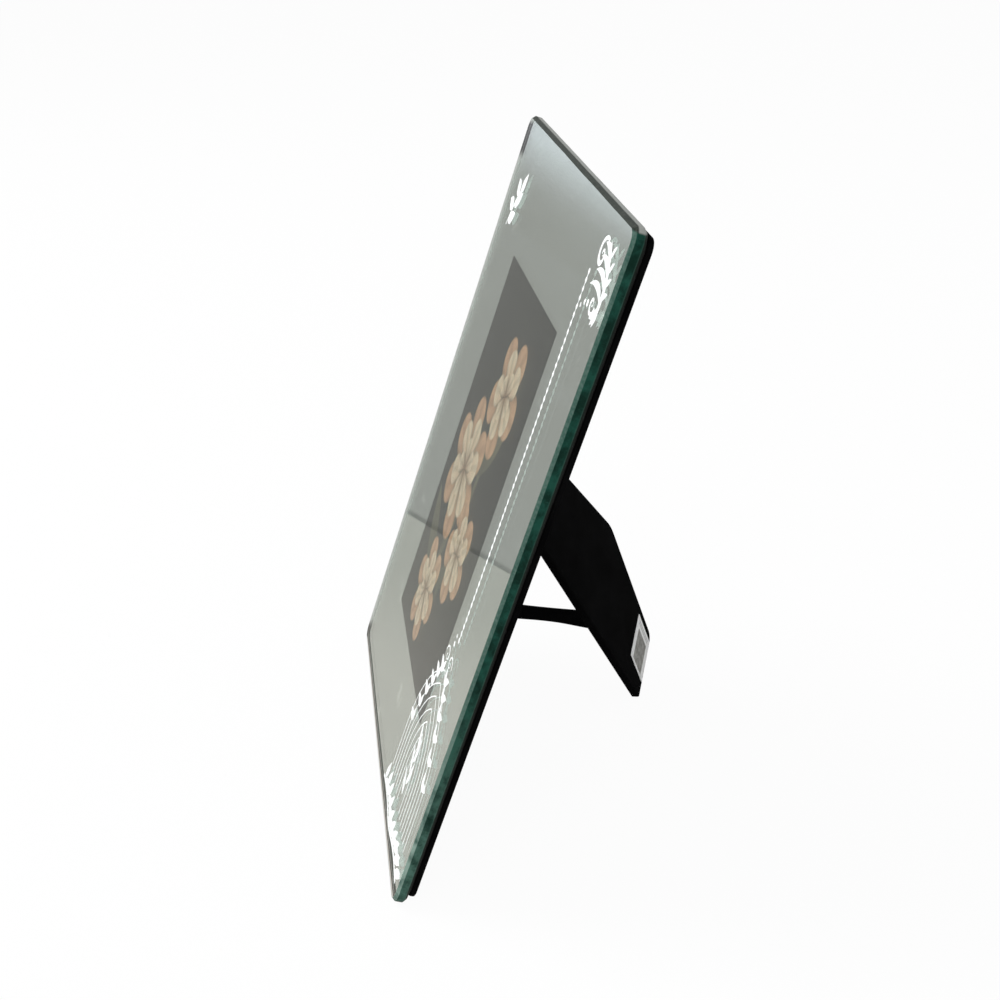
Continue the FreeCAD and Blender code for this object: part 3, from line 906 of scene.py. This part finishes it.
def ribbon_row(point, out, share, across):
    """One row of points round the ribbon's section, in the room.

    Between its ends the ribbon bulges, ripples and lets its lower border hang a little.
    """
    middle = RIBBON_ON_BOARD[0] + (RIBBON_ON_STRUT[0] - RIBBON_ON_BOARD[0]) * share
    free = math.sin(math.pi * min(max(share, 0.0), 1.0))
    hang = 1.15 * swell(share, 0.80, 0.13) - 0.9 * swell(share, 0.5, 0.2)
    row = []
    for side in (1, -1):
        for k in range(across + 1):
            x = (k / across - 0.5) * RIBBON_WIDTH * side
            near = 0.5 + x / RIBBON_WIDTH
            bulge = 0.28 * (1 - (2 * x / RIBBON_WIDTH) ** 2)
            ripple = (0.2 + near * 0.7) * math.sin(0.5 * x + 9 * share)
            thinner = 0.06 if k in (0, across) else 0.0
            lift = free * (bulge + ripple) + side * (RIBBON_THICKNESS / 2 - thinner)
            spot = point + out * lift
            row.append(on_back(middle + x + near * hang, spot.x, spot.y))
    return row


def stay_ribbon():
    """The ribbon as it hangs with the strut open."""
    line = smooth_run(ribbon_line(), count=150)
    first, last = line[0], line[-1]
    work = bmesh.new()
    rows = []
    for i, point in enumerate(line):
        run = (line[min(i + 1, len(line) - 1)] - line[max(i - 1, 0)]).normalized()
        out = Vector((-run.y, run.x))
        share = (point.y - first.y) / (last.y - first.y)
        rows.append([work.verts.new(spot) for spot in ribbon_row(point, out, share, across=12)])
    for near, far in zip(rows, rows[1:]):
        for face in bridge(work, near, far):
            face.smooth = True
    work.faces.new(list(reversed(rows[0])))
    work.faces.new(rows[-1])
    start = on_back(RIBBON_ON_BOARD[0], first.x, first.y)
    end = on_back(RIBBON_ON_STRUT[0], last.x, last.y)
    side = (on_back(1, 0, 0) - on_back(0, 0, 0)).normalized()
    woven = ribbon_finish(start, (end - start).normalized(), side)
    piece = piece_from(work, "ribbon_strip", woven)
    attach(piece, "plate")
    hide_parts("stay_ribbon")
    anchor = on_plate(HINGE_U, HINGE_V, BOARD_BACK)
    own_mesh(piece)


def dress_nodes():
    """Finishes for the pieces that keep their own solids."""
    grey_board = board_finish("grey_board", (0.20, 0.18, 0.15), (0.36, 0.33, 0.28))
    black_card = board_finish("black_card", (0.004, 0.004, 0.004), (0.010, 0.010, 0.010), 1.4)
    card = board_finish("backing_card", (0.34, 0.31, 0.26), (0.50, 0.46, 0.40), 1.2)
    lining = paper_finish("black_lining", (0.007, 0.007, 0.0075), (0.014, 0.014, 0.015), 0.7)
    steel = steel_finish()
    finishes = {
        "mirror_coating": silver_finish(),
        "photo_print": picture_finish(),
        "backer_card": card,
        "board_core": grey_board,
        "strut_core": grey_board,
        "spacer_left": black_card,
        "spacer_right": black_card,
        "spacer_bottom": black_card,
        "strut_lining": lining,
        "strut_label": label_finish(),
        "hinge_leaf_board": steel,
        "hinge_leaf_strut": steel,
        "hinge_pin": steel,
        "board_rivets": steel,
        "strut_rivets": steel,
        "board_staple": steel,
        "strut_staple": steel,
    }
    for name, material in finishes.items():
        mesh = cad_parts[name].data
        mesh.materials.clear()
        mesh.materials.append(material)


# Room: floor, backdrop, lights and camera

def flat_sheet(name, corners, material):
    mesh = bpy.data.meshes.new(name)
    mesh.from_pydata([Vector(corner) for corner in corners], [], [tuple(range(len(corners)))])
    mesh.materials.append(material)
    sheet = bpy.data.objects.new(name, mesh)
    bpy.context.scene.collection.objects.link(sheet)
    return sheet


def level_corners(left, right, reach, level):
    """Corners of a level oblong, from left to right and as far as reach before and behind."""
    return [(left, -reach, level), (right, -reach, level), (right, reach, level), (left, reach, level)]


def seen_rays(nodes):
    """1 for what the camera sees directly, in metal or through glass."""
    camera = nodes.node("ShaderNodeLightPath", out="Is Camera Ray")
    return (camera + camera.also("Is Glossy Ray") + camera.also("Is Transmission Ray")).clamped()


def floor_finish():
    """Pale floor: nearly plain white where it is seen, so that only a soft shadow shows on it."""
    nodes = Finish("pale_floor")
    grit = nodes.grain(6, 4, 0.5)
    colour = nodes.mix(grit, (0.79, 0.79, 0.79), (0.82, 0.82, 0.82))
    lit = nodes.surface(Base_Color=colour, Roughness=1.0, Specular_IOR_Level=0.0)
    white = nodes.node("ShaderNodeEmission", None, {"Color": (1, 1, 1), "Strength": 1.0})
    return nodes.done(nodes.shaded(seen_rays(nodes) * FLOOR_WHITENESS, lit, white))


def grey_card(name, corners, first, last, near=0.0, far=1.0, rim=0.0):
    """A studio card that only mirrors and glass see.

    It is shaded from near to far, in metres to the left, and may have a darker rim.
    """
    nodes = Finish(name)
    cloud = nodes.grain(2.2, 3, 0.5)
    away = nodes.along(Vector((0, 0, 0)), -ACROSS) * MM
    share = away.between(near, far) * 0.94 + cloud.spread() * 0.06
    colour = nodes.mix(share, first, last)
    colour = nodes.mix((1 - away.between(*CARD_RIM)) * rim, colour, (0.08, 0.08, 0.075))
    glow = nodes.surface(Base_Color=(0, 0, 0), Roughness=1.0, Specular_IOR_Level=0.0,
                         Emission_Color=colour, Emission_Strength=1.0)
    card = flat_sheet(name, corners, nodes.done(glow))
    card.visible_camera = False
    card.visible_diffuse = False
    card.visible_shadow = False


def tent():
    """A ring of tapering grey cards round the room."""
    turns = [2 * math.pi * k / TENT_SIDES for k in range(TENT_SIDES + 1)]
    around = [Vector((math.cos(turn), math.sin(turn))) * CARD_REACH for turn in turns]
    for k, (near, far) in enumerate(zip(around, around[1:])):
        top = [(*spot * TENT_TAPER, TENT_HEIGHT) for spot in (far, near)]
        corners = [(*near, 0), (*far, 0), *top]
        grey_card("tent_%02d" % k, corners, (0.50, 0.50, 0.49), (0.60, 0.60, 0.60))


def lamp(name, spot, aim, size, power):
    """A square lamp that mirrors and glass don't see."""
    light = bpy.data.lights.new(name, "AREA")
    light.shape = "SQUARE"
    light.size = size
    light.energy = power
    thing = bpy.data.objects.new(name, light)
    thing.location = spot
    thing.rotation_euler = (Vector(aim) - Vector(spot)).to_track_quat("-Z", "Y").to_euler()
    thing.visible_glossy = False
    thing.visible_transmission = False
    bpy.context.scene.collection.objects.link(thing)


def studio_world():
    """Soft light from all round, and plain white where it is seen."""
    nodes = Finish("studio", "World")
    soft = nodes.node("ShaderNodeBackground", None, {"Color": (0.97, 0.99, 1.0), "Strength": 0.5})
    white = nodes.node("ShaderNodeBackground", None, {"Color": (1, 1, 1), "Strength": 1.0})
    bpy.context.scene.world = nodes.done(nodes.shaded(seen_rays(nodes), soft, white))


def room():
    """Floor, cards, tent, world and lamps."""
    floor = level_corners(-FLOOR_REACH, FLOOR_REACH, FLOOR_REACH, FLOOR_LEVEL)
    flat_sheet("floor", floor, floor_finish())
    left_side = level_corners(-CARD_REACH, CARD_FAR_EDGE, CARD_REACH, CARD_FAR_LEVEL)
    warm_grey, sky_grey = (0.405, 0.390, 0.370), (0.773, 0.783, 0.816)
    grey_card("card_far", left_side, warm_grey, sky_grey, near=2.0, far=4.6, rim=0.4)
    right_side = level_corners(CARD_NEAR_EDGE, CARD_REACH, CARD_REACH, CARD_NEAR_LEVEL)
    light_grey, dim_grey = (0.62, 0.58, 0.54), (0.50, 0.48, 0.445)
    grey_card("card_near", right_side, light_grey, dim_grey, near=0.05, far=0.2)
    tent()
    studio_world()
    aim = (0, 0, 0.1)
    lamp("key_light", (-0.5, -1.1, 1.5), aim, size=0.9, power=24)
    lamp("fill_light", (1.2, -0.5, 1.2), aim, size=1.0, power=9)


def photo_camera():
    """The photograph's viewing angle: where it stood, what was right and where it looked."""
    eye = Vector((0.444774, -0.070609, 0.300248))
    right = Vector((0.129344, 0.991587, 0.005058))
    down = Vector((0.455757, -0.054918, -0.888409))
    forward = Vector((-0.880657, 0.117215, -0.459026))
    lens = bpy.data.cameras.new("photo_camera")
    sensor, focal_ratio, rise = 36.0, 1.41478, 0.08296
    lens.sensor_width = sensor
    lens.lens = sensor * focal_ratio
    lens.shift_y = rise
    lens.clip_start = 0.01
    thing = bpy.data.objects.new("photo_camera", lens)
    turn = Matrix((right, -down, -forward)).transposed()
    thing.matrix_world = Matrix.Translation(eye) @ turn.to_4x4()
    bpy.context.scene.collection.objects.link(thing)
    bpy.context.scene.camera = thing


photo_camera()
flock = flock_finish()
front_glass()
white_print()
board_cover(flock)
strut_cover(flock)
stay_ribbon()
dress_nodes()
room()
bpy.context.scene.view_settings.view_transform = "Standard"
